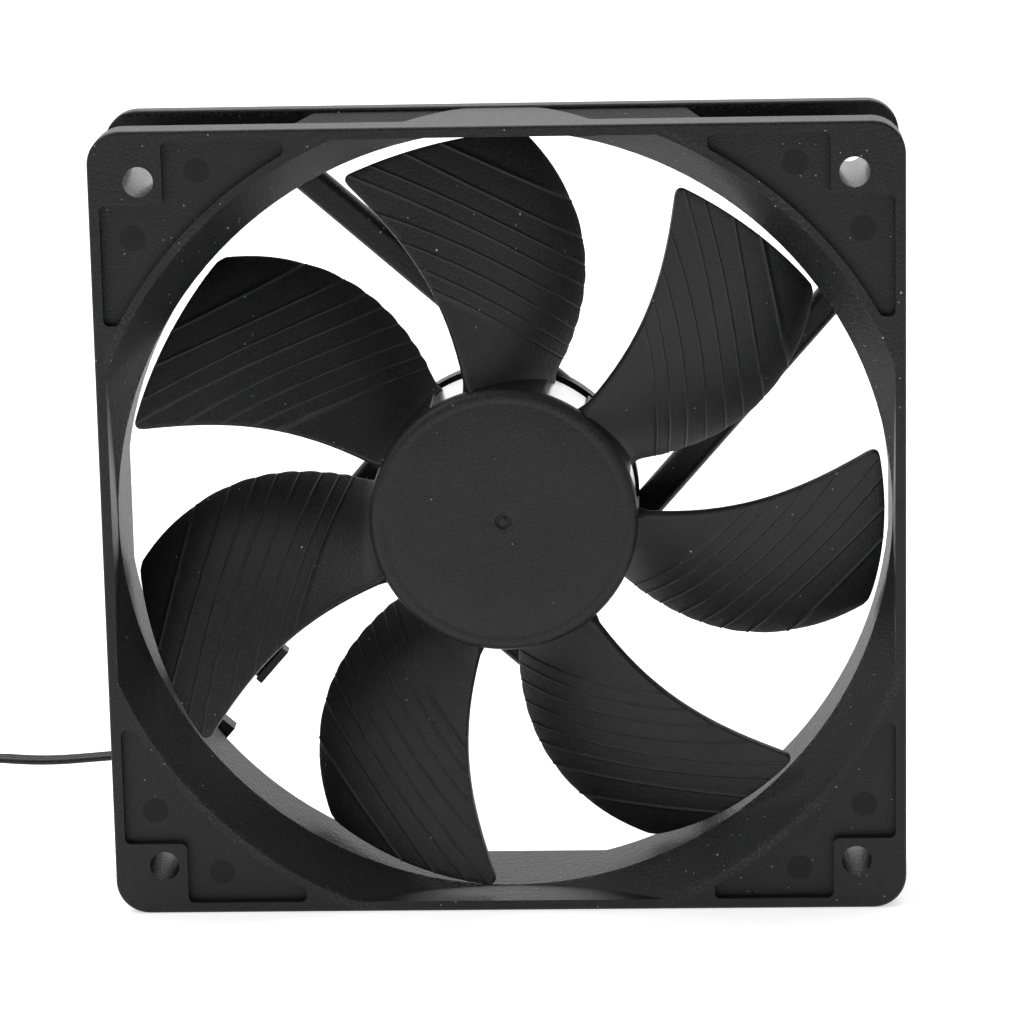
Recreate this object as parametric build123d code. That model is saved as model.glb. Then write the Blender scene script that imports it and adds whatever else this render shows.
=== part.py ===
from build123d import *
import os
from math import atan2, cos, degrees, pi, radians, sin, sqrt, tan

# A 120 mm case fan. Every piece is drawn lying on its back: the spin axis is Z, the intake
# face looks up and the origin is the middle of the frame. stand_up() then turns it upright,
# so that the fan stands on its lower edge with the intake looking along -Y.

# Outer frame
SIZE = 120.0
DEPTH = 25.0
CORNER_R = 5.0
FRONT_FLANGE = 6.3
REAR_FLANGE = 3.4
EDGE_ROUND = 0.45
HOLE_SPACING = 105.0
HOLE_R = 2.25
SCREW_TUBE_R = 3.9
WEB_THICK = 1.8
WALL_FLAT = 59.7
LAND_FLAT = 59.3
LAND_HALF_FRONT = 31.0
LAND_HALF_REAR = 28.0
POCKET_DEPTH = 1.3
POCKET_WALL = 58.4
POCKET_ARC_R = 64.3
POCKET_END = 31.0
BOSS_EDGE = 49.0
POCKET_CORNER_R = 0.9

# Air duct
MOUTH_R = 63.0
MOUTH_DEPTH = 7.5
DUCT_R = 58.3
FLARE_R = 63.0
FLARE_DEPTH = 6.0
DUCT_FLAT = 58.4
DUCT_WALL = 1.6
# Outside of the duct wall just under the front flange and just above the rear flange.
WALL_FRONT_R = 61.4
WALL_REAR_R = 59.9

# Rotor
HUB_R = 20.2
HUB_FRONT = 9.2
HUB_BACK = -7.0
HUB_EDGE_R = 1.5
CAP_THICK = 1.6
SKIRT_THICK = 0.45
BLADES = 7
BLADE_TIP_R = 57.0
BLADE_THICK = 1.3
# Edge angles in degrees at four equally spaced radii, from the hub to the tip.
LEADING_ANGLES = (104.9, 105.0, 108.9, 113.8)
TRAILING_ANGLES = (68.8, 68.8, 75.1, 86.4)
LEADING_HEIGHTS = (7.4, 9.1)
TRAILING_HEIGHTS = (-5.6, -3.4)
CAMBER = (0.9, 1.6)
WINDOW_ANGLE = 60.8
WINDOW_WIDTH = 19.4
WINDOW_TOP = 7.6

# Motor
YOKE_R = 19.7
YOKE_THICK = 0.8
MAGNET_R = 16.4
SHAFT_R = 1.5
BEARING_BORE_R = 1.53
BEARING_R = 3.25
TUBE_R = 4.4
TUBE_STEP_R = 5.0
TUBE_TOP = 5.0
SHOULDER_R = 5.9
CAP_TOP = -10.1
CAP_STEP = -10.4
LABEL_R = 17.6
BASE_R = 20.2
BASE_TOP = -9.0
BASE_FLOOR = -11.0
BASE_WALL = 1.3
BOARD_BOTTOM = -10.2
BOARD_TOP = -9.2
BOARD_R = 18.3
STATOR_LOW = -4.2
STATOR_HIGH = 1.8
STATOR_R = 15.9
POLES = 4
POLE_WIDTH = 5.0
INSULATION = 0.6
INSULATOR_THICK = 1.2
PIN_ANGLES = (0, 90, 180)
PIN_OUT = 6.3
PIN_SIDE = 0.6

# Struts: each is tangent to the motor base
STRUTS = 4
STRUT_NORMAL = 48.6
STRUT_EDGE = 19.9
STRUT_WIDTH = 4.7
STRUT_TOP = -9.0
STRUT_ROUND = 1.4
WIRE_STRUT_NORMAL = STRUT_NORMAL + 90
# Hook, channel and wall block that guide the wires beside the fourth strut.
CLIP_OUT = 44.4
CLIP_LENGTH = 6.5
CLIP_THICK = 1.1
CLIP_BOTTOM = -10.3
CLIP_TOP = -7.4
CHANNEL_FLOOR = -9.15
GATE_OUT = 60.3
GATE_LENGTH = 7.6
GATE_INNER = 8.0
SLOT_OUT = 57.5

# Lead: three wires side by side, then one free flat lead of the same wires
WIRE_R = 0.49
WIRE_PITCH = 1.05
WIRE_OFFSET = 13.1
WIRE_HEIGHT = -8.5
LEAD_WIDTH = 3.0
FLOOR = -SIZE / 2
COIL_MID_R = 15.4
COIL_BAND = 5.2
COIL_HEIGHT = 5.4
COIL_LIFT = 0.4
TIE_ANGLE = 10.0
# Free lead as it leaves the frame and comes down to the coil, in the standing frame.
LEAD_ROUTE = [
    (-54.0, 5.0, -39.4),
    (-63.0, 5.0, -40.1),
    (-73.0, 5.2, -40.9),
    (-83.0, 6.2, -40.3),
    (-91.5, 8.2, -44.2),
    (-97.0, 10.4, -50.2),
    (-102.0, 12.2, -54.1),
    (-108.0, 12.4, -54.8),
]
COIL_CENTRE = (-108.0, 12.4 - COIL_MID_R - COIL_BAND / 2 + LEAD_WIDTH / 2, 0)
TAIL_LENGTH = 6.0
TAIL_HEIGHT = 1.8
PLUG = (13.0, 7.7, 5.0)

FRONT = DEPTH / 2
REAR = -DEPTH / 2
GAP_TOP = FRONT - FRONT_FLANGE
GAP_BOTTOM = REAR + REAR_FLANGE
CORNERS = [(x, y) for x in (-1, 1) for y in (-1, 1)]


def stand_up(piece):
    return Rot(90, 0, 0) * piece


def disc(radius, low, high):
    return Pos(0, 0, low) * extrude(Circle(radius), high - low)


def ring(outer, inner, low, high):
    return Pos(0, 0, low) * extrude(Circle(outer) - Circle(inner), high - low)


def block(x, y, low, high):
    return Pos(0, 0, low) * extrude(Rectangle(x, y), high - low)


def turned(points):
    """A solid of revolution about Z from (radius, height) points."""
    outline = Polyline([(r, 0, z) for r, z in points], close=True)
    return revolve(make_face(outline), Axis.Z)


# ---- frame ----


def flange(low, high):
    plate = Pos(0, 0, low) * extrude(RectangleRounded(SIZE, SIZE, CORNER_R), high - low)
    rims = plate.edges().group_by(Axis.Z)
    return fillet(rims[0] + rims[-1], EDGE_ROUND)


def duct_wall():
    """The wall between the flanges: a tapering drum, cut flat where it meets the sides."""
    outline = [(0, GAP_TOP), (WALL_FRONT_R, GAP_TOP), (WALL_REAR_R, GAP_BOTTOM), (0, GAP_BOTTOM)]
    taper = turned(outline)
    back_r = DUCT_R + DUCT_WALL
    cone_top = REAR + FLARE_DEPTH + 2.0
    cone = turned([(0, cone_top), (back_r, cone_top), (back_r + 4, GAP_BOTTOM), (0, GAP_BOTTOM)])
    taper &= block(2 * WALL_FLAT, 2 * WALL_FLAT, GAP_BOTTOM, GAP_TOP)
    cone &= block(2 * LAND_FLAT, 2 * LAND_FLAT, GAP_BOTTOM, GAP_TOP)
    return taper + cone


def lands():
    """Flat lands at the middle of each side, a little narrower towards the rear flange."""
    low, high = GAP_BOTTOM, GAP_TOP
    corners = [
        (-LAND_HALF_REAR, 0, low),
        (LAND_HALF_REAR, 0, low),
        (LAND_HALF_FRONT, 0, high),
        (-LAND_HALF_FRONT, 0, high),
    ]
    bar = extrude(make_face(Polyline(corners, close=True)), LAND_FLAT, dir=(0, 1, 0), both=True)
    return bar + Rot(0, 0, 90) * bar


def screw_tubes():
    tubes = []
    for x, y in CORNERS:
        place = Pos(x * HOLE_SPACING / 2, y * HOLE_SPACING / 2)
        tubes.append(place * disc(SCREW_TUBE_R, GAP_BOTTOM, GAP_TOP))
        reach = HOLE_SPACING / sqrt(2) - DUCT_R
        web = Pos(DUCT_R + reach / 2, 0) * block(reach, WEB_THICK, GAP_BOTTOM, GAP_TOP)
        tubes.append(Rot(0, 0, degrees(atan2(y, x))) * web)
    return tubes


def duct_void():
    """The air passage: intake cone, cylinder and outlet flare, with flats at the four sides."""
    mouth_slope = (MOUTH_R - DUCT_R) / MOUTH_DEPTH
    flare_slope = (FLARE_R - DUCT_R) / FLARE_DEPTH
    profile = [(0, FRONT + 1), (MOUTH_R + mouth_slope, FRONT + 1), (DUCT_R, FRONT - MOUTH_DEPTH)]
    profile += [(DUCT_R, REAR + FLARE_DEPTH), (FLARE_R + flare_slope, REAR - 1), (0, REAR - 1)]
    return turned(profile) & block(2 * DUCT_FLAT, 2 * DUCT_FLAT, REAR - 2, FRONT + 2)


def corner_pockets():
    """One shallow L-shaped pocket in each corner of the intake face, round the screw boss."""
    far = POCKET_WALL
    shape = Rectangle(2 * far, 2 * far) - Circle(POCKET_ARC_R)
    shape -= Pos(BOSS_EDGE + 20, BOSS_EDGE + 20) * Rectangle(40, 40)
    quarter = Pos(far / 2 + 20, far / 2 + 20) * Rectangle(far + 1, far + 1)
    end_x = Pos((POCKET_END - 40) / 2, far) * Rectangle(POCKET_END + 40, 40)
    end_y = Pos(far, (POCKET_END - 40) / 2) * Rectangle(40, POCKET_END + 40)
    shape = (shape & quarter) - end_x - end_y
    shape = fillet(shape.vertices(), POCKET_CORNER_R)
    pocket = Pos(0, 0, FRONT - POCKET_DEPTH) * extrude(shape, POCKET_DEPTH + 1)
    return [Rot(0, 0, 90 * i) * pocket for i in range(4)]


def screw_holes():
    holes = []
    for x, y in CORNERS:
        place = Pos(x * HOLE_SPACING / 2, y * HOLE_SPACING / 2)
        holes.append(place * disc(HOLE_R, REAR - 1, FRONT + 1))
    return holes


def strut_frame(normal):
    """Local axes of a strut: X runs out along it, Y points away from the hub."""
    return Rot(0, 0, normal + 90)


def duct_outline():
    """Everything inside the duct wall, so that what reaches it ends in the wall."""
    back_r = DUCT_R + DUCT_WALL / 2
    cone_r = back_r + 4.6
    return turned([(0, REAR), (cone_r, REAR), (back_r, REAR + FLARE_DEPTH), (back_r, 0), (0, 0)])


def strut(normal):
    length = DUCT_R + 5
    bar = Pos(length / 2, 0) * block(length, STRUT_WIDTH, REAR, STRUT_TOP)
    bar = fillet(bar.edges().filter_by(Axis.X), STRUT_ROUND)
    # With X outwards the hub lies on the +Y side, so the bar sits at negative Y.
    bar = strut_frame(normal) * Pos(0, -STRUT_EDGE + STRUT_WIDTH / 2) * bar
    return bar & duct_outline() & block(2 * LAND_FLAT, 2 * LAND_FLAT, REAR, FRONT)


def wire_clip():
    """A small hook beside one strut that holds the wires down."""
    inner = STRUT_EDGE - STRUT_WIDTH
    hook_y = WIRE_OFFSET - 2.3
    width = inner - hook_y + 1
    floor = Pos(0, -(inner + hook_y) / 2) * block(CLIP_LENGTH, width, CLIP_BOTTOM, CHANNEL_FLOOR)
    hook = Pos(0, -hook_y + CLIP_THICK / 2) * block(CLIP_LENGTH, CLIP_THICK, CLIP_BOTTOM, CLIP_TOP)
    along = strut_frame(WIRE_STRUT_NORMAL) * Pos(CLIP_OUT, 0)
    return [along * floor, along * hook]


def wire_gate():
    """The block at the duct wall that the wires run over."""
    width = STRUT_EDGE - GATE_INNER
    shape = Pos(GATE_OUT, -STRUT_EDGE + width / 2) * block(GATE_LENGTH, width, REAR, CHANNEL_FLOOR)
    return (strut_frame(WIRE_STRUT_NORMAL) * shape) & duct_outline()


def wire_slot():
    """The slot through the duct wall that lets the wires out into the corner."""
    slot = Pos(SLOT_OUT, -WIRE_OFFSET) * block(13.0, 4.6, CHANNEL_FLOOR + 0.05, -5.0)
    return strut_frame(WIRE_STRUT_NORMAL) * slot


def wire_notch():
    notch = Pos(13.0, -WIRE_OFFSET) * block(10, 4.0, CHANNEL_FLOOR, BASE_TOP + 1)
    return strut_frame(WIRE_STRUT_NORMAL) * notch


def motor_base():
    base = disc(BASE_R, REAR, BASE_TOP)
    return fillet(base.edges().group_by(Axis.Z)[0], 0.5)


def bearing_tube():
    shoulder = disc(SHOULDER_R, BASE_FLOOR, BOARD_BOTTOM)
    step = disc(TUBE_STEP_R, BASE_FLOOR, STATOR_LOW - INSULATOR_THICK)
    return shoulder + step + disc(TUBE_R, BASE_FLOOR, TUBE_TOP)


def frame():
    body = flange(GAP_TOP, FRONT) + flange(REAR, GAP_BOTTOM)
    body += duct_wall() + lands()
    body += screw_tubes()
    body -= duct_void()
    body -= corner_pockets()
    body -= screw_holes()
    body += [strut(STRUT_NORMAL + 90 * i) for i in range(STRUTS)]
    body += wire_clip()
    body += wire_gate()
    body += motor_base()
    body -= disc(BASE_R - BASE_WALL, BASE_FLOOR, BASE_TOP + 1)
    body += bearing_tube()
    body -= wire_slot()
    body -= wire_notch()
    body -= disc(BEARING_R, CAP_STEP, TUBE_TOP + 1)
    body -= disc(BEARING_R - 0.5, REAR - 1, CAP_STEP)
    body -= disc(LABEL_R + 0.2, REAR - 1, REAR + 0.2)
    return body


# ---- rotor ----


def between(values, share):
    return values[0] + (values[1] - values[0]) * share


def edge_angle(angles, share):
    """A cubic through four equally spaced values."""
    step = 3 * share
    first = [angles[i + 1] - angles[i] for i in range(3)]
    second = [first[1] - first[0], first[2] - first[1]]
    third = second[1] - second[0]
    value = angles[0] + step * first[0] + step * (step - 1) / 2 * second[0]
    return value + step * (step - 1) * (step - 2) / 6 * third


def blade_point(radius, across):
    """A point of the blade's middle surface; across is 0 at the leading edge and 1 at the other."""
    share = (radius - HUB_R) / (BLADE_TIP_R - HUB_R)
    lead, trail = edge_angle(LEADING_ANGLES, share), edge_angle(TRAILING_ANGLES, share)
    angle = radians(lead + (trail - lead) * across)
    high, low = between(LEADING_HEIGHTS, share), between(TRAILING_HEIGHTS, share)
    height = high + (low - high) * across + between(CAMBER, share) * 4 * across * (1 - across)
    return Vector(radius * cos(angle), radius * sin(angle), height)


def blade():
    radii = [18.4 + 40.1 * i / 12 for i in range(13)]
    grid = [[blade_point(r, j / 8) for j in range(9)] for r in radii]
    middle = Face.make_surface_from_array_of_points(grid)
    body = thicken(middle, BLADE_THICK / 2, both=True)
    return body & ring(BLADE_TIP_R, HUB_R - SKIRT_THICK, HUB_BACK - 2, FRONT)


def impeller():
    inner = HUB_R - SKIRT_THICK
    cap = disc(HUB_R, HUB_BACK, HUB_FRONT)
    cap = fillet(cap.edges().group_by(Axis.Z)[-1], HUB_EDGE_R)
    cap -= disc(inner, HUB_BACK - 1, HUB_FRONT - CAP_THICK)
    cap -= disc(1.15, HUB_FRONT - 0.25, HUB_FRONT + 1)
    window = block(8, 2 * HUB_R * tan(radians(WINDOW_WIDTH / 2)), HUB_BACK - 1, WINDOW_TOP)
    for i in range(BLADES):
        cap -= Rot(0, 0, WINDOW_ANGLE + 360 / BLADES * i) * Pos(HUB_R, 0) * window
    one = blade()
    return cap + [Rot(0, 0, 360 / BLADES * i) * one for i in range(BLADES)]


def rotor_yoke():
    top = HUB_FRONT - CAP_THICK - 0.05
    cup = disc(YOKE_R, HUB_BACK + 0.2, top)
    cup = fillet(cup.edges().group_by(Axis.Z)[-1], 0.7)
    cup -= disc(YOKE_R - YOKE_THICK, HUB_BACK - 1, top - YOKE_THICK)
    return cup - disc(3.0, HUB_BACK, FRONT)


def ring_magnet():
    return ring(YOKE_R - YOKE_THICK, MAGNET_R, -6.5, 5.2)


def shaft_bushing():
    top = HUB_FRONT - CAP_THICK - 0.05
    body = disc(3.0, top - YOKE_THICK, top) + disc(4.2, 5.9, top - YOKE_THICK) + disc(2.7, 5.05, 5.9)
    return body - disc(SHAFT_R, 0, FRONT)


def shaft():
    body = disc(SHAFT_R, -9.9, HUB_FRONT - CAP_THICK - 0.1)
    body = chamfer(body.edges().group_by(Axis.Z)[0], 0.25)
    return body - ring(SHAFT_R + 1, SHAFT_R - 0.3, -8.9, -8.4)


def retaining_ring():
    split = Pos(2, 0) * block(4, 0.9, -9, -8)
    return ring(2.45, SHAFT_R - 0.28, -8.85, -8.45) - split


# ---- motor parts that stand still ----


def sleeve_bearing():
    body = ring(BEARING_R, BEARING_BORE_R, -7.9, 4.6)
    rims = body.edges().filter_by(GeomType.CIRCLE).group_by(SortBy.RADIUS)[-1]
    return chamfer(rims, 0.3)


def front_washer():
    return ring(2.9, SHAFT_R + 0.12, 4.62, 4.87)


def rear_washer():
    return ring(2.9, SHAFT_R + 0.12, -8.2, -7.92)


def bearing_cap():
    return disc(BEARING_R, CAP_STEP, CAP_TOP) + disc(BEARING_R - 0.5, REAR + 0.2, CAP_STEP)


def pole(low, high, grow):
    """One arm with its shoe, from the stator's hub to the air gap."""
    reach = STATOR_R - 1
    arm = Pos(reach / 2 + 2, 0) * block(reach - 4, POLE_WIDTH + 2 * grow, low, high)
    shoe = ring(STATOR_R - grow * 0.3, 13.9, low, high)
    spread = [(0, 0), (30, 30 * tan(radians(36))), (30, -30 * tan(radians(36)))]
    wedge = Pos(0, 0, low) * extrude(make_face(Polyline(spread, close=True)), high - low)
    return arm + (shoe & wedge)


def stator_shape(low, high, grow):
    body = disc(7.4, low, high) + [Rot(0, 0, 90 * i + 45) * pole(low, high, grow) for i in range(POLES)]
    return body - disc(TUBE_R, low - 1, high + 1)


def stator_core():
    return stator_shape(STATOR_LOW, STATOR_HIGH, 0)


def insulator(low, high):
    return stator_shape(low, high, INSULATION)


def winding(index):
    inside = (POLE_WIDTH + 2 * INSULATION, STATOR_HIGH - STATOR_LOW + 2.4)
    middle = (STATOR_HIGH + STATOR_LOW) / 2
    coil = Box(5.0, inside[0] + 3.4, inside[1] + 2.6)
    coil = fillet(coil.edges().filter_by(Axis.X), 1.2)
    coil -= Box(8, inside[0], inside[1])
    return Rot(0, 0, 90 * index + 45) * Pos(10.2, 0, middle) * coil


def terminal_pins():
    pins = []
    for angle in PIN_ANGLES:
        pin = block(PIN_SIDE, PIN_SIDE, BOARD_BOTTOM - 0.5, STATOR_LOW - INSULATOR_THICK)
        pins.append(Rot(0, 0, angle) * Pos(PIN_OUT, 0) * pin)
    return Compound(pins)


def circuit_board():
    board = ring(BOARD_R, TUBE_STEP_R + 0.3, BOARD_BOTTOM, BOARD_TOP)
    hole = block(PIN_SIDE, PIN_SIDE, BOARD_BOTTOM - 1, BOARD_TOP + 1)
    return board - [Rot(0, 0, a) * Pos(PIN_OUT, 0) * hole for a in PIN_ANGLES]


def chip(x, y, size, angle):
    place = Pos(x, y) * Rot(0, 0, angle)
    return place * block(size[0], size[1], BOARD_TOP, BOARD_TOP + size[2])


def hall_driver_ic():
    return chamfer(chip(12.0, 7.0, (4.2, 3.2, 1.3), 30).edges().group_by(Axis.Z)[-1], 0.2)


def capacitors():
    return Compound([chip(11.5, -6.5, (2.0, 1.25, 1.0), -30), chip(14.0, -3.0, (2.0, 1.25, 1.0), 80)])


def resistors():
    return Compound([chip(-12.0, -6.0, (2.0, 1.25, 0.6), 20), chip(-14.5, -2.0, (2.0, 1.25, 0.6), 90)])


def diode():
    return chip(1.0, -13.0, (2.7, 1.6, 1.1), 5)


def along_wire_strut(out, side, height):
    """A point at a distance out along the wire strut, side mm away from the hub's centre line."""
    turn = radians(WIRE_STRUT_NORMAL + 90)
    return (
        out * cos(turn) + side * sin(turn),
        out * sin(turn) - side * cos(turn),
        height,
    )


def solder_joints():
    joints = []
    for i in (-1, 0, 1):
        x, y, _ = along_wire_strut(-4.0, WIRE_OFFSET + 1.4 * i, 0)
        joints.append(Pos(x, y, BOARD_TOP) * extrude(Circle(0.62), 0.2))
    return Compound(joints)


def lead_wires():
    """Three wires from the board, along the strut, out through the wall, turning on edge."""
    wires = []
    end = LEAD_ROUTE[0]
    for i in (-1, 0, 1):
        side = WIRE_OFFSET + WIRE_PITCH * i
        low = end[0], end[2], -end[1] + WIRE_PITCH * i
        inward = low[0] + 4.0, low[1] + 0.8, low[2]
        points = [
            along_wire_strut(-4.0, side, WIRE_HEIGHT),
            along_wire_strut(30.0, side, WIRE_HEIGHT),
            along_wire_strut(57.5, side, WIRE_HEIGHT + 0.1),
            inward,
            low,
        ]
        route = FilletPolyline(points, radius=[20, 4, 2.5])
        wires.append(sweep(Plane(route @ 0, z_dir=route % 0) * Circle(WIRE_R), path=route))
    return Compound(wires)


def label():
    return disc(LABEL_R, REAR + 0.08, REAR + 0.2)


# ---- free lead ----


def route_radii(points):
    """The largest arc that each corner of a route has room for."""
    runs = [Vector(*b) - Vector(*a) for a, b in zip(points, points[1:])]
    radii = []
    for before, after in zip(runs, runs[1:]):
        half_turn = radians(before.get_angle(after)) / 2
        radii.append(0.45 * min(before.length, after.length) / tan(half_turn))
    return radii


def lead_cable():
    radii = route_radii(LEAD_ROUTE)
    print("lead radii", [round(r, 1) for r in radii])
    route = FilletPolyline(LEAD_ROUTE, radius=radii)
    tube = sweep(Plane(route @ 0, z_dir=route % 0) * Circle(LEAD_WIDTH / 2), path=route)
    wanted = pi * LEAD_WIDTH**2 / 4 * route.length
    print("lead length", round(route.length, 1), "volume share", round(tube.volume / wanted, 4))
    return tube


def coil_section(grow):
    return RectangleRounded(COIL_BAND + 2 * grow, COIL_HEIGHT + 2 * grow, 1.0 + grow)


def lead_coil():
    middle = FLOOR + COIL_LIFT + COIL_HEIGHT / 2
    section = Plane.XZ * (Pos(COIL_MID_R, middle) * coil_section(0))
    return Pos(*COIL_CENTRE) * revolve(section, Axis.Z)


def coil_tie():
    """A band round the bundle of turns, on the side away from the fan."""
    middle = FLOOR + COIL_LIFT + COIL_HEIGHT / 2
    band = Plane.XZ * (Pos(COIL_MID_R, middle) * (coil_section(COIL_LIFT) - coil_section(0)))
    start = Rot(0, 0, 180 - TIE_ANGLE / 2)
    return Pos(*COIL_CENTRE) * start * revolve(band, Axis.Z, TIE_ANGLE)


def tail_start():
    x, y, _ = COIL_CENTRE
    return x + 7.0, y - COIL_MID_R - COIL_BAND / 2 + LEAD_WIDTH / 2, FLOOR + TAIL_HEIGHT


def lead_tail():
    x, y, z = tail_start()
    tube = Plane((x, y, z), z_dir=(1, 0, 0)) * extrude(Circle(LEAD_WIDTH / 2), TAIL_LENGTH)
    return tube - lead_coil()


def plug_place():
    x, y, z = tail_start()
    return Pos(x + TAIL_LENGTH + PLUG[0] / 2, y, FLOOR + PLUG[2] / 2)


def plug_housing():
    """A three-way socket housing with its square openings at the far end and a key rib."""
    length, width, height = PLUG
    body = Box(length, width, height)
    body = chamfer(body.edges().filter_by(Axis.X), 0.4)
    for i in (-1, 0, 1):
        body -= Pos(0.6, 2.54 * i, 0) * Box(length - 1.2 + 0.01, 1.5, 2.2)
    rib = Pos(-length / 2 + 5.5, 0, height / 2 + 0.4) * Box(2.0, width - 2.4, 0.8)
    return plug_place() * (body + rib)


def plug_contacts():
    length = PLUG[0]
    contacts = []
    for i in (-1, 0, 1):
        sleeve = Box(7.0, 1.4, 2.0) - Box(8.0, 0.8, 1.3)
        contacts.append(plug_place() * Pos(length / 2 - 4.5, 2.54 * i, 0) * sleeve)
    return Compound(contacts)


LYING = {
    "frame": frame,
    "impeller": impeller,
    "rotor_yoke": rotor_yoke,
    "ring_magnet": ring_magnet,
    "shaft_bushing": shaft_bushing,
    "shaft": shaft,
    "retaining_ring": retaining_ring,
    "sleeve_bearing": sleeve_bearing,
    "front_washer": front_washer,
    "rear_washer": rear_washer,
    "bearing_cap": bearing_cap,
    "stator_core": stator_core,
    "terminal_pins": terminal_pins,
    "circuit_board": circuit_board,
    "hall_driver_ic": hall_driver_ic,
    "capacitors": capacitors,
    "resistors": resistors,
    "diode": diode,
    "solder_joints": solder_joints,
    "lead_wires": lead_wires,
    "label": label,
}
STANDING = {
    "lead_cable": lead_cable,
    "lead_coil": lead_coil,
    "coil_tie": coil_tie,
    "lead_tail": lead_tail,
    "plug_housing": plug_housing,
    "plug_contacts": plug_contacts,
}

os.makedirs("parts", exist_ok=True)
for name, make in LYING.items():
    export_step(stand_up(make()), f"parts/{name}.step")
front_insulator = insulator(STATOR_HIGH, STATOR_HIGH + INSULATOR_THICK)
rear_insulator = insulator(STATOR_LOW - INSULATOR_THICK, STATOR_LOW)
export_step(stand_up(front_insulator), "parts/stator_insulator_front.step")
export_step(stand_up(rear_insulator), "parts/stator_insulator_rear.step")
for i in range(POLES):
    export_step(stand_up(winding(i)), f"parts/winding_{i + 1}.step")
for name, make in STANDING.items():
    export_step(make(), f"parts/{name}.step")
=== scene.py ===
from math import atan2, cos, degrees, hypot, pi, radians, sin

import bmesh
import bpy
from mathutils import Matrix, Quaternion, Vector


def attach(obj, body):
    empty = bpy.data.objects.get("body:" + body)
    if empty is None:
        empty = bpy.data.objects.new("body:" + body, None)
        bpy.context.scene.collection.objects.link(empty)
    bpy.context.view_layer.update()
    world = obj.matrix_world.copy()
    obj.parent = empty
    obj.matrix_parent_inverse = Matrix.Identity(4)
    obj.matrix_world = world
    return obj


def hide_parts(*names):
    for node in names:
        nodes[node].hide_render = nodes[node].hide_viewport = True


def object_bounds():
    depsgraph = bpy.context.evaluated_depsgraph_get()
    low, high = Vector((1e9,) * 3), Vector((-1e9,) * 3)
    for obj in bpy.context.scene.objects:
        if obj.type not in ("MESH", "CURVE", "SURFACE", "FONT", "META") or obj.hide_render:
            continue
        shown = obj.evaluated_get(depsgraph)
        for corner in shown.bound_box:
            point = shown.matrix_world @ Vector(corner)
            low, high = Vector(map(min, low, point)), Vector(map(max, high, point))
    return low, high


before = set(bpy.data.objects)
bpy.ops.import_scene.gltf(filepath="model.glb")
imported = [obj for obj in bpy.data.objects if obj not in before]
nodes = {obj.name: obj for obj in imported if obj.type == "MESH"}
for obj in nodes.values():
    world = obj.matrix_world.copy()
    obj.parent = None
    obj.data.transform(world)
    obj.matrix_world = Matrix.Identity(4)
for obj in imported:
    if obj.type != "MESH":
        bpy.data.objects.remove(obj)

cad_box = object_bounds()
MM = 0.001

# Sizes that repeat the CAD's, in millimetres. Fan frame: X right, Y up, Z towards the intake.
HUB_R = 20.2
HUB_FRONT = 9.2
HUB_BACK = -7.0
HUB_EDGE_R = 1.5
SKIRT_THICK = 0.45
WINDOW_TOP = 7.6
WINDOW_ANGLE = 60.8
WINDOW_WIDTH = 19.4
BLADES = 7
BLADE_PITCH = 360 / BLADES
BLADE_TIP_R = 57.0
BLADE_THICK = 1.3
LEADING_ANGLES = (104.9, 105.0, 108.9, 113.8)
TRAILING_ANGLES = (68.8, 68.8, 75.1, 86.4)
LEADING_HEIGHTS = (7.4, 9.1)
TRAILING_HEIGHTS = (-5.6, -3.4)
CAMBER = (0.9, 1.6)

# Detail that only the meshes have, in millimetres.
# Ribs on the blades: each starts at a notch in the trailing edge and runs to the other edge.
ROOT_R = 19.6
NOTCHES = (ROOT_R, 23.7, 25.75, 28.4, 31.7, 35.1, 38.2, 42.0, 47.35, 56.7)
# Where each rib ends: up to 1 along the leading edge, then 1 to 2 along the tip.
RIB_ENDS = (0.0, 0.457, 0.553, 0.676, 0.821, 1.045, 1.165, 1.355, 1.545, 1.975)
RIB_BOWS = (1.0, 0.75, 0.9, 1.3, 1.5, 1.1, 0.85, 0.15, 0.1, 0.0)
RIB_HEIGHT = 0.2
# Height of a rib's outer side as a share of its inner side's.
LOW_SIDE = 0.6
RIB_CREST_WIDTH = 0.2
# About how long the leading edge and the tip are, for spacing the rows.
EDGE_LENGTH = 30
# From the middle of a rib to its foot, in half widths of its crest.
RIB_FOOT = 2.7
# The surface rises this much from one rib to the next, in rows at these shares of the way.
RIB_RAMP = 0.07
ROW_SHARES = (0.12, 0.25, 0.38, 0.5, 0.62, 0.75, 0.88)
# How far the trailing edge bulges between two notches.
SCALLOP = 0.17
TIP_CORNER = 1.7
EDGE_INSET = 0.22
# The section of a rounded edge: share of the inset left to the edge, share of half the thickness.
EDGE_ROUNDING = (
    (0.42, 0.93), (0.12, 0.66), (0.0, 0.25), (0.0, -0.25), (0.12, -0.66), (0.42, -0.93),
)
# The trailing edge thins by this share over this length.
TAPER = 0.5
TAPER_LENGTH = 6.0
# The blade thickens where it meets the hub.
ROOT_FLARE = 0.55
ROOT_FLARE_LENGTH = 1.5
SPAN_STEPS = 26

# Hub skirt: heights of its rows, and columns of faces in a window and in the wall beside it
SKIRT_HEIGHTS = (HUB_BACK, -3.5, 0.0, 3.5, WINDOW_TOP)
WINDOW_COLUMNS = 6
WALL_COLUMNS = 16
# Rounding of the hub's edges: steps of the large one in front, and size of the small ones
HUB_EDGE_STEPS = 8
SMALL_EDGE = 0.12

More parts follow.
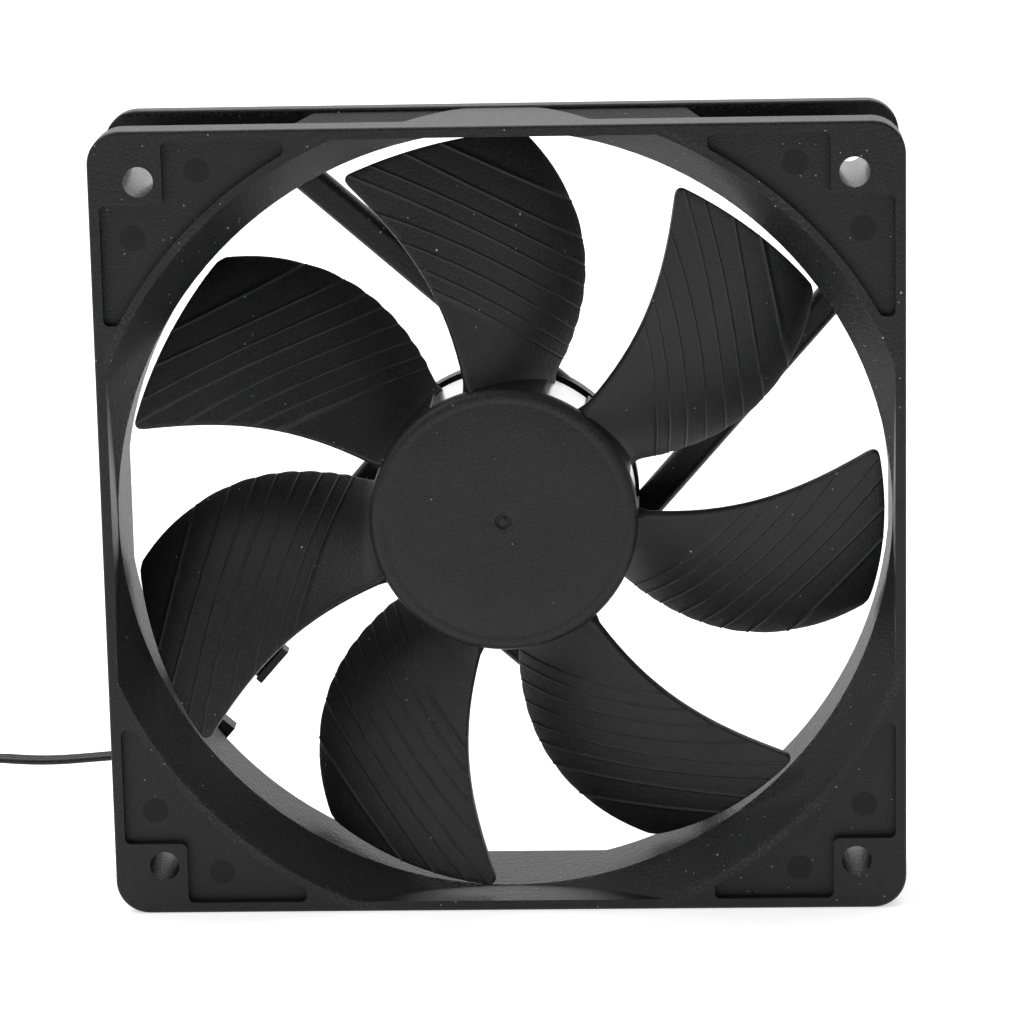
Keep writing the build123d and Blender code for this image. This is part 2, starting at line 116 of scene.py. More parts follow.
# Hub face: a shallow ring groove near the rim, the ring of points inside it, and the mark of
# the mould's gate in the middle
GROOVE_OUT = 18.3
GROOVE_IN = 17.6
GROOVE_DEPTH = 0.04
GROOVE_SLOPE = 0.2
FACE_RING_R = 12.0
GATE_MARK = ((2.0, 0.0), (1.25, 0.0), (1.1, 0.3), (0.75, 0.35), (0.55, 0.1), (0.2, 0.05))

# Finish of the frame: screw bores and the ejector marks in the corner pockets
SCREW = (52.5, 52.5)
BORE_R = 2.35
EJECTORS = ((43.9, 53.9), (53.7, 44.0))
EJECTOR_R = 1.9
POCKET_FRONT = -10.5
# Coarse texture on the flat lands between the flanges and on the duct wall
LAND_FLAT = 59.3
LAND_BAND = 0.25
LAND_MIDDLE = 1.5
LAND_HALF_DEPTH = 7.9
DUCT_R = 58.3
DUCT_BAND = 0.3
RIM_R = 63.4
RIM_BAND = 0.8

# Camera, in millimetres and degrees
CAMERA_PLACE = (27.83, -659.20, 153.36)
CAMERA_TARGET = (0.948, 0.0, -0.744)
CAMERA_ROLL = -1.192
CAMERA_LENS = 157.05

# Light: strength of the surroundings in front of the fan and behind it, and the floor's own glow
FRONT_LIGHT = 0.2
BACK_LIGHT = 1.5
FLOOR_GLOW = 0.5

# Lead
WIRE_R = 0.49
WIRE_PITCH = 1.03
COIL_CENTRE = (-108.0, -4.1)
COIL_R = 15.4
COIL_TURNS = 3.5
COIL_TOP = -54.8
COIL_BOTTOM = -58.9
COIL_STEPS = 14
# The turns wander this far in and out, and less in the last part, which leads to the plug.
COIL_WANDER = 1.1
COIL_WANDER_RATE = 0.72
COIL_CALM_TURNS = 0.6
COIL_CALM = 0.4


def to_world(x, y, z):
    """A point of the fan lying on its back, in metres, as the fan stands."""
    return Vector((x * MM, -z * MM, y * MM))


def add_object(name, data):
    made = bpy.data.objects.new(name, data)
    bpy.context.scene.collection.objects.link(made)
    return made


# ---- camera ----


def make_camera():
    data = bpy.data.cameras.new("camera")
    data.sensor_width = 36.0
    data.lens = CAMERA_LENS
    data.clip_start = 0.05
    data.clip_end = 50.0
    camera = add_object("camera", data)
    place = Vector(CAMERA_PLACE) * MM
    target = Vector(CAMERA_TARGET) * MM
    turn = (target - place).to_track_quat("-Z", "Y")
    camera.rotation_mode = "QUATERNION"
    camera.location = place
    camera.rotation_quaternion = turn @ Quaternion((0, 0, 1), radians(CAMERA_ROLL))
    bpy.context.scene.camera = camera


# ---- lead ----


def coil_point(turn):
    """A point of the coil, turn by turn, from the end that meets the free lead at the top."""
    angle = radians(90 + 360 * turn)
    calm = 1 if turn < COIL_TURNS - COIL_CALM_TURNS else COIL_CALM
    radius = COIL_R + COIL_WANDER * cos(2 * pi * turn * COIL_WANDER_RATE) * calm
    share = turn / COIL_TURNS
    height = COIL_TOP + (COIL_BOTTOM - COIL_TOP) * share
    return (COIL_CENTRE[0] + radius * cos(angle), COIL_CENTRE[1] + radius * sin(angle), height)


def lead_points():
    """The lead's route from the frame over the coil to the plug, in metres."""
    route = [
        (-54.0, 5.0, -39.4),
        (-63.0, 5.0, -40.1),
        (-73.0, 5.2, -40.9),
        (-83.0, 6.2, -40.3),
        (-91.5, 8.2, -44.2),
        (-97.0, 10.4, -50.2),
        (-102.0, 12.2, -54.1),
    ]
    route += [coil_point(i / COIL_STEPS) for i in range(int(COIL_TURNS * COIL_STEPS))]
    route += [
        (-108.0, -20.3, -58.9),
        (-103.0, -20.6, -58.8),
        (-98.5, -20.6, -57.9),
        (-94.6, -20.6, -57.5),
    ]
    return [Vector(p) * MM for p in route]


def smooth_line(name, points):
    """The points that a NURBS curve with these control points passes through."""
    data = bpy.data.curves.new(name, "CURVE")
    data.dimensions = "3D"
    data.resolution_u = 8
    spline = data.splines.new("NURBS")
    spline.points.add(len(points) - 1)
    for slot, point in zip(spline.points, points):
        slot.co = (*point, 1.0)
    spline.order_u = 3
    spline.use_endpoint_u = True
    made = add_object(name, data)
    bpy.context.view_layer.update()
    mesh = bpy.data.meshes.new_from_object(made)
    line = [v.co.copy() for v in mesh.vertices]
    bpy.data.meshes.remove(mesh)
    bpy.data.objects.remove(made)
    return line


def tube(mesh, line, side_shift, radius, sides=12):
    """One strand that runs beside the line."""
    rings = []
    for i, point in enumerate(line):
        before, after = line[max(i - 1, 0)], line[min(i + 1, len(line) - 1)]
        along = (after - before).normalized()
        side = along.cross(Vector((0, 0, 1))).normalized()
        up = side.cross(along)
        centre = point + side * side_shift
        rings.append([
            mesh.verts.new(centre + (side * cos(a) + up * sin(a)) * radius)
            for a in (2 * pi * k / sides for k in range(sides))
        ])
    bridge(mesh, rings)
    mesh.faces.new(list(reversed(rings[0])))
    mesh.faces.new(rings[-1])


def bridge(mesh, rings):
    """Faces between each ring of vertices and the next."""
    for low, high in zip(rings, rings[1:]):
        count = len(low)
        for k in range(count):
            mesh.faces.new((low[k], low[(k + 1) % count], high[(k + 1) % count], high[k]))


def finish_mesh(name, mesh):
    bmesh.ops.recalc_face_normals(mesh, faces=mesh.faces)
    data = bpy.data.meshes.new(name)
    mesh.to_mesh(data)
    mesh.free()
    for face in data.polygons:
        face.use_smooth = True
    return add_object(name, data)


def make_lead():
    """Three strands side by side, from the frame to the plug."""
    line = smooth_line("lead_line", lead_points())
    mesh = bmesh.new()
    for i in (-1, 0, 1):
        tube(mesh, line, i * WIRE_PITCH * MM, WIRE_R * MM)
    lead = finish_mesh("lead_ribbon", mesh)
    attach(lead, "frame")
    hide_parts("lead_cable", "lead_coil", "lead_tail")
    return lead


# ---- impeller ----


def between(values, share, first=0):
    """The value that lies share of the way from one of the values to the next."""
    return values[first] + (values[first + 1] - values[first]) * share


def edge_angle(angles, share):
    """A cubic through four equally spaced angles."""
    step = 3 * share
    first = [angles[i + 1] - angles[i] for i in range(3)]
    second = [first[1] - first[0], first[2] - first[1]]
    third = second[1] - second[0]
    value = angles[0] + step * first[0] + step * (step - 1) / 2 * second[0]
    return value + step * (step - 1) * (step - 2) / 6 * third


def edge_angles(radius):
    """Share of the blade's span at this radius, and the angles of its two edges there."""
    share = (radius - HUB_R) / (BLADE_TIP_R - HUB_R)
    return share, edge_angle(LEADING_ANGLES, share), edge_angle(TRAILING_ANGLES, share)


def seen_point(radius, across):
    """Where a point of the blade is in the front view, from leading (0) to trailing edge (1)."""
    _, lead, trail = edge_angles(radius)
    angle = radians(lead + (trail - lead) * across)
    return Vector((radius * cos(angle), radius * sin(angle)))


def blade_height(x, y):
    """Height of the blade's middle surface over a point of the front view."""
    share, lead, trail = edge_angles(hypot(x, y))
    across = (lead - degrees(atan2(y, x))) / (lead - trail)
    high, low = between(LEADING_HEIGHTS, share), between(TRAILING_HEIGHTS, share)
    return high + (low - high) * across + between(CAMBER, share) * 4 * across * (1 - across)


def surface_point(spot, offset):
    """The spot on the blade's middle surface, moved offset along the surface's normal."""
    gap = 0.05
    x, y = spot
    height = blade_height(x, y)
    slope_x = (blade_height(x + gap, y) - blade_height(x - gap, y)) / (2 * gap)
    slope_y = (blade_height(x, y + gap) - blade_height(x, y - gap)) / (2 * gap)
    normal = Vector((-slope_x, -slope_y, 1.0)).normalized()
    return Vector((x, y, height)) + normal * offset


def boundary(place):
    """The leading edge, place 0 to 1, then the tip, 1 to 2, with the corner rounded."""
    edge = BLADE_TIP_R - ROOT_R
    tip = BLADE_TIP_R * radians(LEADING_ANGLES[-1] - TRAILING_ANGLES[-1])
    before, after = 1 - TIP_CORNER / edge, 1 + TIP_CORNER / tip

    def sharp(p):
        return seen_point(ROOT_R + edge * min(p, 1), max(p - 1, 0))

    if before < place < after:
        t = (place - before) / (after - before)
        return sharp(before) * (1 - t) ** 2 + sharp(1) * 2 * t * (1 - t) + sharp(after) * t * t
    return sharp(place)


def rows():
    """(rib index, fraction towards the next rib, height) for every row of the blade's mesh."""
    made = []
    last = len(NOTCHES) - 2
    for k in range(last + 1):
        width_trail = NOTCHES[k + 1] - NOTCHES[k]
        width_lead = (RIB_ENDS[k + 1] - RIB_ENDS[k]) * EDGE_LENGTH
        near = RIB_CREST_WIDTH / (width_trail + width_lead)
        foot = RIB_FOOT * near
        ramp_high = RIB_RAMP if k < last else 0.0
        made.append((k, near, RIB_HEIGHT * LOW_SIDE if k > 0 else 0.0))
        made.append((k, foot, 0.0))
        made += [(k, f, ramp_high * f) for f in ROW_SHARES]
        if k < last:
            made += [(k, 1 - foot, RIB_RAMP), (k, 1 - near, RIB_RAMP + RIB_HEIGHT)]
        else:
            made.append((k, 1 - foot, 0.0))
    return made


def row_ring(k, f, step):
    """The closed outline of the blade's section along one row, and how much painted highlight each
    point gets.
    """
    start = seen_point(between(NOTCHES, f, k), 1.0)
    end = boundary(between(RIB_ENDS, f, k))
    bow = between(RIB_BOWS, f, k)
    along = (end - start).normalized()
    outwards = Vector((along.y, -along.x))
    start -= along * (SCALLOP * 4 * f * (1 - f) if k > 0 else 0)
    chord = end - start
    length = chord.length
    inset = min(0.3, EDGE_INSET / (length * 0.75))

    def spot(t):
        return start + chord * t + outwards * (bow * 4 * t * (1 - t))

    def half(t):
        flare = max(0.0, 1 - (spot(t).length - HUB_R) / ROOT_FLARE_LENGTH)
        thin = TAPER * max(0.0, 1 - t * length / TAPER_LENGTH) ** 2
        return BLADE_THICK / 2 * (1 - thin) + ROOT_FLARE * min(flare, 1.2) ** 2

    def rounded(t, high):
        return spot(t), half(t) * high + step * max(high, 0), 0.0

    # Painted highlight along each rib's crest on the blade's front face: full on its high side,
    # less on its low side, none elsewhere.
    wear_and_highlight = min(1.0, max(0.0, step - RIB_RAMP) / (RIB_HEIGHT * LOW_SIDE))
    spread = [inset + (1 - 2 * inset) * i / SPAN_STEPS for i in range(SPAN_STEPS + 1)]
    ring = [(spot(t), half(t) + step, wear_and_highlight) for t in spread]
    ring += [rounded(1 - inset * back, high) for back, high in EDGE_ROUNDING]
    ring += [(spot(t), -half(t), 0.0) for t in reversed(spread)]
    ring += [rounded(inset * back, high) for back, high in reversed(EDGE_ROUNDING)]
    return [(surface_point(place, offset), amount) for place, offset, amount in ring]


def add_blade(mesh, rings, turn):
    """One blade, with the painted highlight of each point in the attribute crest."""
    spin = Quaternion((0, 0, 1), turn)
    crest = mesh.verts.layers.float.get("crest") or mesh.verts.layers.float.new("crest")
    loops = []
    for ring in rings:
        loop = []
        for point, wear_and_highlight in ring:
            vertex = mesh.verts.new(to_world(*(spin @ point)))
            vertex[crest] = wear_and_highlight
            loop.append(vertex)
        loops.append(loop)
    bridge(mesh, loops)
    mesh.faces.new(list(reversed(loops[0])))
    mesh.faces.new(loops[-1])


def hub_profile():
    """(radius, height) from the skirt's open end over the edge to the middle of the face."""
    points = [(HUB_R, height) for height in SKIRT_HEIGHTS]
    for i in range(HUB_EDGE_STEPS + 1):
        angle = radians(90 * i / HUB_EDGE_STEPS)
        inwards, down = HUB_EDGE_R * (1 - cos(angle)), HUB_EDGE_R * (1 - sin(angle))
        points.append((HUB_R - inwards, HUB_FRONT - down))
    points += [(GROOVE_OUT, HUB_FRONT), (GROOVE_OUT - GROOVE_SLOPE, HUB_FRONT - GROOVE_DEPTH)]
    points += [(GROOVE_IN + GROOVE_SLOPE, HUB_FRONT - GROOVE_DEPTH), (GROOVE_IN, HUB_FRONT)]
    points.append((FACE_RING_R, HUB_FRONT))
    points += [(radius, HUB_FRONT - depth) for radius, depth in GATE_MARK]
    return points


def column_angles():
    """Angles of the hub's columns: those of each window, then those of the wall up to the next."""
    angles = []
    wall = BLADE_PITCH - WINDOW_WIDTH
    for k in range(BLADES):
        first = WINDOW_ANGLE + BLADE_PITCH * k - WINDOW_WIDTH / 2
        angles += [first + WINDOW_WIDTH * i / WINDOW_COLUMNS for i in range(WINDOW_COLUMNS)]
        angles += [first + WINDOW_WIDTH + wall * i / WALL_COLUMNS for i in range(WALL_COLUMNS)]
    return angles


def add_hub(mesh):
    columns = []
    for angle in column_angles():
        a = radians(angle)
        points = [to_world(r * cos(a), r * sin(a), z) for r, z in hub_profile()]
        columns.append([mesh.verts.new(point) for point in points])
    count = len(columns)
    for c in range(count):
        left, right = columns[c], columns[(c + 1) % count]
        in_window = c % (WINDOW_COLUMNS + WALL_COLUMNS) < WINDOW_COLUMNS
        for i in range(len(left) - 1):
            if in_window and i < len(SKIRT_HEIGHTS) - 1:
                continue
            mesh.faces.new((left[i], right[i], right[i + 1], left[i + 1]))
    mesh.faces.new([column[-1] for column in columns])


def make_impeller(material):
    """The hub with its windows, and the blades, as two pieces."""
    mesh = bmesh.new()
    add_hub(mesh)
    hub = finish_mesh("rotor_hub", mesh)
    solid = hub.modifiers.new("wall", "SOLIDIFY")
    solid.thickness = SKIRT_THICK * MM
    solid.offset = -1
    edge = hub.modifiers.new("edge", "BEVEL")
    edge.width = SMALL_EDGE * MM
    edge.segments = 2
    edge.limit_method = "ANGLE"
    edge.angle_limit = radians(50)
    rings = [row_ring(*row) for row in rows()]
    mesh = bmesh.new()
    for i in range(BLADES):
        add_blade(mesh, rings, radians(BLADE_PITCH * i))
    blades = finish_mesh("rotor_blades", mesh)
    for piece in (hub, blades):
        piece.data.materials.append(material)
        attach(piece, "rotor")
        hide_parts("impeller")


# ---- materials ----


def new_material(name, colour, roughness, metallic=0.0, specular=0.5):
    material = bpy.data.materials.new(name)
    material.use_nodes = True
    shader = material.node_tree.nodes["Principled BSDF"]
    shader.inputs["Base Color"].default_value = (*colour, 1)
    shader.inputs["Roughness"].default_value = roughness
    shader.inputs["Metallic"].default_value = metallic
    shader.inputs["Specular IOR Level"].default_value = specular
    return material


def add_node(material, kind, **values):
    node = material.node_tree.nodes.new(kind)
    for key, value in values.items():
        setattr(node, key, value)
    return node


def object_place(material):
    return add_node(material, "ShaderNodeTexCoord").outputs["Object"]


def noise(material, size, detail=2.0, stretch=(1, 1, 1)):
    """Noise whose grains are about size metres across, in object coordinates."""
    links = material.node_tree.links
    mapping = add_node(material, "ShaderNodeMapping")
    mapping.inputs["Scale"].default_value = stretch
    links.new(object_place(material), mapping.inputs["Vector"])
    node = add_node(material, "ShaderNodeTexNoise")
    node.inputs["Scale"].default_value = 1 / size
    node.inputs["Detail"].default_value = detail
    links.new(mapping.outputs["Vector"], node.inputs["Vector"])
    return node.outputs["Fac"]


def ramp(material, source, stops):
    """A colour ramp over source from (place, grey or colour) stops."""
    node = add_node(material, "ShaderNodeValToRGB")
    elements = node.color_ramp.elements
    while len(elements) < len(stops):
        elements.new(0.5)
    for element, (place, value) in zip(elements, stops):
        element.position = place
        colour = value if isinstance(value, tuple) else (value, value, value)
        element.color = (*colour, 1)
    material.node_tree.links.new(source, node.inputs["Fac"])
    return node.outputs["Color"]


def math(material, operation, *values):
    """A math node's result. A value is a number or another node's output."""
    node = add_node(material, "ShaderNodeMath", operation=operation)
    for slot, value in zip(node.inputs, values):
        if isinstance(value, (int, float)):
            slot.default_value = value
        else:
            material.node_tree.links.new(value, slot)
    return node.outputs[0]


def times(material, first, second):
    return math(material, "MULTIPLY", first, second)


def mix(material, fac, first, second):
    """The colour first where fac is 0 and second where it is 1."""
    node = add_node(material, "ShaderNodeMix", data_type="RGBA")
    for slot, value in zip((node.inputs[0], node.inputs[6], node.inputs[7]), (fac, first, second)):
        if isinstance(value, (int, float)):
            slot.default_value = value
        elif isinstance(value, tuple):
            slot.default_value = (*value, 1)
        else:
            material.node_tree.links.new(value, slot)
    return node.outputs[2]


def set_input(material, name, source):
    shader = material.node_tree.nodes["Principled BSDF"]
    material.node_tree.links.new(source, shader.inputs[name])


def set_bump(material, height, distance, strength=1.0):
    node = add_node(material, "ShaderNodeBump")
    node.inputs["Distance"].default_value = distance
    node.inputs["Strength"].default_value = strength
    material.node_tree.links.new(height, node.inputs["Height"])
    set_input(material, "Normal", node.outputs["Normal"])


def specks(material, size, amount, radius):
    """Rare small dots, 1 in a dot and 0 elsewhere."""
    node = add_node(material, "ShaderNodeTexVoronoi")
    node.inputs["Scale"].default_value = 1 / size
    material.node_tree.links.new(object_place(material), node.inputs["Vector"])
    dot = math(material, "LESS_THAN", node.outputs["Distance"], radius / size)
    split = add_node(material, "ShaderNodeSeparateColor")
    material.node_tree.links.new(node.outputs["Color"], split.inputs[0])
    chosen = math(material, "LESS_THAN", split.outputs[0], amount)
    return times(material, dot, chosen)


def moulded_plastic(name, low, high, roughness, grain, bump=0.6, dusty=0.03):
    """Black plastic with a fine eroded grain, uneven gloss, and a little dust."""
    material = new_material(name, high, roughness[0], specular=0.3)
    cloud = noise(material, 0.009, 3.0)
    fine = noise(material, grain, 3.0)
    tone = ramp(material, cloud, [(0.35, low), (0.65, high)])
    speckle = ramp(material, fine, [(0.45, 0.0), (0.75, 1.0)])
    grainy = mix(material, speckle, tone, tuple(2.2 * c for c in high))
    small, large = specks(material, 0.0012, dusty, 0.0001), specks(material, 0.0031, dusty, 0.00017)
    dust = math(material, "MAXIMUM", small, large)
    set_input(material, "Base Color", mix(material, dust, grainy, (0.3, 0.3, 0.29)))
    gloss = math(material, "MULTIPLY_ADD", fine, roughness[1] - roughness[0], roughness[0])
    set_input(material, "Roughness", gloss)
    set_bump(material, fine, grain * 0.35, bump)
    return material


def coordinate(material, axis):
    split = add_node(material, "ShaderNodeSeparateXYZ")
    material.node_tree.links.new(object_place(material), split.inputs[0])
    return split.outputs[axis]


def part_of(material, axis):
    """The size of one object coordinate, mirrored to be positive."""
    return math(material, "ABSOLUTE", coordinate(material, axis))


def distance_from(material, across, up):
    """Distance from a spot at (across, up) millimetres, the same in all four corners."""
    side = math(material, "SUBTRACT", part_of(material, "X"), across * MM)
    rise = math(material, "SUBTRACT", part_of(material, "Z"), up * MM)
    square_side = math(material, "POWER", side, 2.0)
    square_rise = math(material, "POWER", rise, 2.0)
    return math(material, "SQRT", math(material, "ADD", square_side, square_rise))


def land_mask(material):
    """The flat lands between the flanges, on all four sides."""
    depth = coordinate(material, "Y")
    mid_depth = math(material, "COMPARE", depth, LAND_MIDDLE * MM, LAND_HALF_DEPTH * MM)
    reach = math(material, "MAXIMUM", part_of(material, "X"), part_of(material, "Z"))
    land = math(material, "COMPARE", reach, LAND_FLAT * MM, LAND_BAND * MM)
    return times(material, land, mid_depth)


def ejector_mask(material, in_front):
    """The round marks that the ejector pins left in the corner pockets."""
    discs = [
        math(material, "LESS_THAN", distance_from(material, *place), EJECTOR_R * MM)
        for place in EJECTORS
    ]
    return times(material, math(material, "MAXIMUM", *discs), in_front)


def worn_mask(material, radius, in_front):
    """Patches of scuffed rim where the duct's mouth meets the front face."""
    near_rim = math(material, "COMPARE", radius, RIM_R * MM, RIM_BAND * MM)
    scuffs = ramp(material, noise(material, 0.0005, 4.0), [(0.48, 0.0), (0.66, 1.0)])
    patches = ramp(material, noise(material, 0.014, 2.0), [(0.45, 0.0), (0.6, 0.7)])
    wear_and_highlight = times(material, times(material, near_rim, scuffs), patches)
    return times(material, wear_and_highlight, in_front)


def frame_finish(material):
    """Smooth screw bores, coarse lands and duct, ejector marks in the pockets, and worn rims."""
    shader = material.node_tree.nodes["Principled BSDF"]
    tone = shader.inputs["Base Color"].links[0].from_socket
    gloss = shader.inputs["Roughness"].links[0].from_socket
    bump = shader.inputs["Normal"].links[0].from_node
    height = bump.inputs["Height"].links[0].from_socket
    in_front = math(material, "LESS_THAN", coordinate(material, "Y"), POCKET_FRONT * MM)
    radius = distance_from(material, 0.0, 0.0)
    land = land_mask(material)
    bore = math(material, "LESS_THAN", distance_from(material, *SCREW), BORE_R * MM)
    marks = ejector_mask(material, in_front)

    dark = mix(material, marks, tone, (0.0045, 0.0045, 0.005))
    wear_and_highlight = worn_mask(material, radius, in_front)
    set_input(material, "Base Color", mix(material, wear_and_highlight, dark, (0.04, 0.04, 0.04)))

    smoother = math(material, "MULTIPLY_ADD", bore, -0.4, 1.0)
    matt = math(material, "MAXIMUM", land, times(material, marks, 0.5))
    rougher = math(material, "MULTIPLY_ADD", matt, 0.75, 1.0)
    set_input(material, "Roughness", times(material, gloss, times(material, smoother, rougher)))

    flat = math(material, "MULTIPLY_ADD", math(material, "MAXIMUM", bore, marks), -0.8, 1.0)
    coarse = ramp(material, noise(material, 0.0007, 2.0), [(0.35, 0.0), (0.65, 1.0)])
    duct = math(material, "COMPARE", radius, DUCT_R * MM, DUCT_BAND * MM)
    coarse_height = math(material, "MULTIPLY_ADD", duct, 0.8, times(material, land, 4.0))
    fine_grain = times(material, height, flat)
    coarse_grain = times(material, coarse, coarse_height)
    grain = math(material, "ADD", fine_grain, coarse_grain)
    sunk = math(material, "MULTIPLY_ADD", marks, -1.6, grain)
    material.node_tree.links.new(sunk, bump.inputs["Height"])


def rotor_crest_highlight(material):
    """The blades' ribs get a painted highlight along their crests, in patches."""
    shader = material.node_tree.nodes["Principled BSDF"]
    tone = shader.inputs["Base Color"].links[0].from_socket
    crest = add_node(material, "ShaderNodeAttribute", attribute_name="crest").outputs["Fac"]
    patchy = ramp(material, noise(material, 0.004, 4.0), [(0.35, 0.2), (0.62, 1.0)])
    painted_highlight = times(material, crest, patchy)
    # Base colour lightened towards grey 0.03 along the rib crests: a painted highlight.
    set_input(material, "Base Color", mix(material, painted_highlight, tone, (0.03, 0.03, 0.03)))


def paint(node_name, material):
    """Gives a CAD node its material on every slot."""
    data = nodes[node_name].data
    if not data.materials:
        data.materials.append(material)
    for i in range(len(data.materials)):
        data.materials[i] = material


def brushed(name, colour, roughness, size, stretch=(1, 1, 1), amount=0.12):
    """Metal with faint streaks."""
    material = new_material(name, colour, roughness, metallic=1.0)
    lines = noise(material, size, 4.0, stretch)
    dark = tuple(c * (1 - amount) for c in colour)
    set_input(material, "Base Color", ramp(material, lines, [(0.3, dark), (0.7, colour)]))
    set_bump(material, lines, size * 0.02, 0.4)
    return material


def speckled(name, low, high, roughness, size, bump=0.05):
    """An even material with a little grain."""
    material = new_material(name, high, roughness)
    grain = noise(material, size, 3.0)
    set_input(material, "Base Color", ramp(material, grain, [(0.3, low), (0.7, high)]))
    set_bump(material, grain, size * bump, 0.5)
    return material


def windings(name):
    """Enamelled copper wire, turn beside turn."""
    material = new_material(name, (0.62, 0.24, 0.09), 0.28, metallic=1.0)
    node = add_node(material, "ShaderNodeTexWave", wave_type="BANDS", bands_direction="Y")
    node.inputs["Scale"].default_value = 1 / 0.0011
    node.inputs["Distortion"].default_value = 0.6
    material.node_tree.links.new(object_place(material), node.inputs["Vector"])
    dark, light = (0.16, 0.05, 0.02), (0.62, 0.24, 0.09)
    tone = ramp(material, node.outputs["Fac"], [(0.1, dark), (0.6, light)])
    set_input(material, "Base Color", tone)
    set_bump(material, node.outputs["Fac"], 0.00006, 0.8)
    return material


def board_green(name):
    """Solder mask over copper tracks."""
    material = new_material(name, (0.02, 0.09, 0.04), 0.3)
    tracks = add_node(material, "ShaderNodeTexVoronoi", feature="DISTANCE_TO_EDGE")
    tracks.inputs["Scale"].default_value = 1 / 0.004
    material.node_tree.links.new(object_place(material), tracks.inputs["Vector"])
    copper, mask = (0.03, 0.16, 0.07), (0.012, 0.07, 0.03)
    tone = ramp(material, tracks.outputs["Distance"], [(0.08, copper), (0.12, mask)])
    set_input(material, "Base Color", tone)
    return material


def make_plastics():
    """The black plastics of the frame, the rotor, the wires, and the plug."""
    frame_plastic = moulded_plastic(
        "frame_plastic", (0.0048, 0.0049, 0.0053), (0.0075, 0.0077, 0.0082),
        roughness=(0.36, 0.56), grain=0.00036, bump=0.8, dusty=0.25,
    )
    frame_finish(frame_plastic)
    rotor_plastic = moulded_plastic(
        "rotor_plastic", (0.006, 0.0061, 0.0065), (0.009, 0.0092, 0.0097),
        roughness=(0.36, 0.54), grain=0.00032, bump=0.75, dusty=0.08,
    )
    # Painted highlight along the rib crests of the blades.
    rotor_crest_highlight(rotor_plastic)
    wire = moulded_plastic(
        "wire_black", (0.006, 0.006, 0.0065), (0.010, 0.010, 0.0105),
        roughness=(0.26, 0.4), grain=0.0006,
    )
    plug = moulded_plastic(
        "plug_black", (0.008, 0.008, 0.0085), (0.014, 0.014, 0.0145),
        roughness=(0.35, 0.5), grain=0.0004,
    )
    return frame_plastic, rotor_plastic, wire, plug


def make_materials():
    frame_plastic, rotor_plastic, wire, plug = make_plastics()
    tie = speckled("tie_black", (0.006, 0.006, 0.006), (0.012, 0.012, 0.012), 0.4, 0.0006)
    steel = brushed("yoke_steel", (0.62, 0.62, 0.63), 0.3, 0.0006, (1, 0.08, 1), 0.06)
    tinned = brushed("tinned_metal", (0.72, 0.72, 0.70), 0.3, 0.0004)
    brass = brushed("brass", (0.75, 0.55, 0.24), 0.3, 0.0004)
    shaft = brushed("shaft_steel", (0.68, 0.68, 0.70), 0.2, 0.0003, (1, 4, 1))
    bronze = speckled("bronze", (0.20, 0.11, 0.05), (0.42, 0.26, 0.12), 0.45, 0.0004)
    nylon = speckled("nylon", (0.55, 0.55, 0.52), (0.7, 0.7, 0.67), 0.45, 0.0005)
    magnet = speckled("magnet", (0.015, 0.014, 0.013), (0.035, 0.033, 0.032), 0.6, 0.0003)
    stator = brushed("stator_steel", (0.5, 0.5, 0.52), 0.4, 0.0005, (0.1, 8, 0.1), 0.3)
    chip = speckled("chip_black", (0.01, 0.01, 0.01), (0.02, 0.02, 0.02), 0.5, 0.0002)
    ceramic = speckled("ceramic", (0.45, 0.36, 0.24), (0.6, 0.5, 0.36), 0.4, 0.0004)
    label = speckled("label_film", (0.25, 0.25, 0.26), (0.29, 0.29, 0.30), 0.35, 0.003, 0.002)
    copper = windings("copper")
    board = board_green("board")
    by_node = {
        "frame": frame_plastic, "rotor_yoke": steel, "ring_magnet": magnet, "shaft_bushing": brass,
        "shaft": shaft, "retaining_ring": nylon, "sleeve_bearing": bronze, "front_washer": nylon,
        "rear_washer": nylon, "bearing_cap": plug, "stator_core": stator,
        "stator_insulator_front": nylon, "stator_insulator_rear": nylon, "terminal_pins": tinned,
        "circuit_board": board, "hall_driver_ic": chip, "capacitors": ceramic, "resistors": chip,
        "diode": chip, "solder_joints": tinned, "lead_wires": wire, "label": label,
        "coil_tie": tie, "plug_housing": plug, "plug_contacts": tinned, "impeller": rotor_plastic,
    }
    by_node.update({f"winding_{i}": copper for i in range(1, 5)})
    for name, material in by_node.items():
        paint(name, material)
    return rotor_plastic, wire


# ---- stage ----


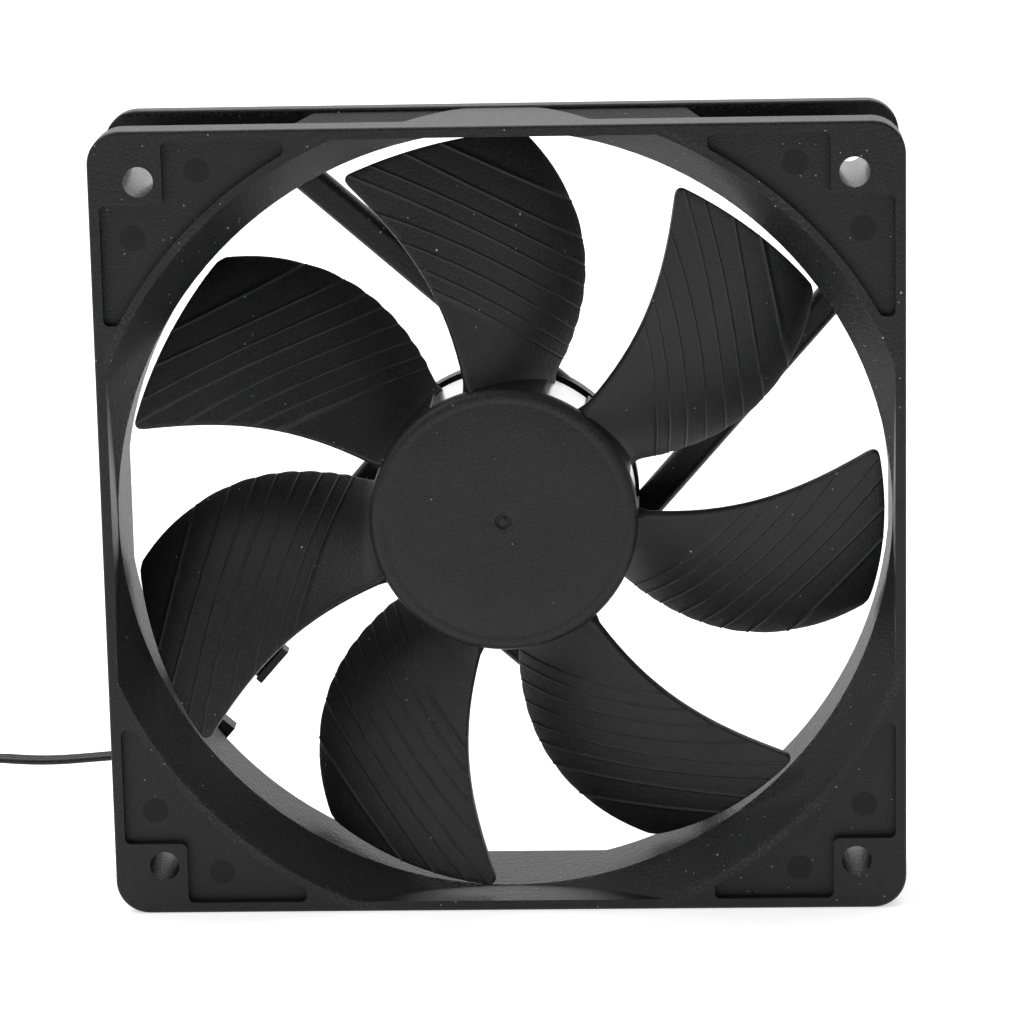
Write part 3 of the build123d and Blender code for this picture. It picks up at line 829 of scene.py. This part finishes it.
def make_floor():
    """A pale floor that also glows a little, so that it looks as white as the backdrop."""
    mesh = bmesh.new()
    bmesh.ops.create_grid(mesh, x_segments=8, y_segments=8, size=4.0)
    floor = finish_mesh("floor", mesh)
    floor.location = (0, 0, cad_box[0][2])
    material = new_material("floor_paper", (0.9, 0.9, 0.9), 0.9, specular=0.1)
    paper = noise(material, 0.02, 4.0)
    set_input(material, "Base Color", ramp(material, paper, [(0.3, 0.885), (0.7, 0.9)]))
    shader = material.node_tree.nodes["Principled BSDF"]
    shader.inputs["Emission Color"].default_value = (1, 1, 1, 1)
    shader.inputs["Emission Strength"].default_value = FLOOR_GLOW
    floor.data.materials.append(material)


def make_world():
    """Studio light from all round, weaker from the front."""
    world = bpy.data.worlds.new("studio")
    bpy.context.scene.world = world
    world.use_nodes = True
    tree = world.node_tree
    split = tree.nodes.new("ShaderNodeSeparateXYZ")
    place = tree.nodes.new("ShaderNodeTexCoord")
    tree.links.new(place.outputs["Generated"], split.inputs[0])
    side = tree.nodes.new("ShaderNodeMapRange")
    side.inputs["From Min"].default_value = -0.7
    side.inputs["From Max"].default_value = 0.8
    side.inputs["To Min"].default_value = FRONT_LIGHT
    side.inputs["To Max"].default_value = BACK_LIGHT
    tree.links.new(split.outputs["Y"], side.inputs["Value"])
    tree.links.new(side.outputs["Result"], tree.nodes["Background"].inputs["Strength"])
    tree.nodes["Background"].inputs["Color"].default_value = (1, 1, 1, 1)


def add_softbox(name, place, target, size, power):
    data = bpy.data.lights.new(name, "AREA")
    data.shape = "RECTANGLE"
    data.size, data.size_y = size
    data.energy = power
    light = add_object(name, data)
    light.location = place
    light.rotation_euler = (Vector(target) - Vector(place)).to_track_quat("-Z", "Y").to_euler()


def make_light():
    make_world()
    add_softbox("top", (-0.2, 0.45, 1.1), (0, 0.1, 0), (1.2, 1.2), 7.0)
    add_softbox("key", (-0.62, -0.42, 0.8), (0, 0, 0), (0.36, 0.36), 3.0)
    scene = bpy.context.scene
    scene.view_settings.view_transform = "Standard"
    scene.view_settings.look = "None"


make_camera()
lead = make_lead()
rotor_plastic, wire = make_materials()
lead.data.materials.append(wire)
make_impeller(rotor_plastic)
make_floor()
make_light()
bpy.context.view_layer.update()
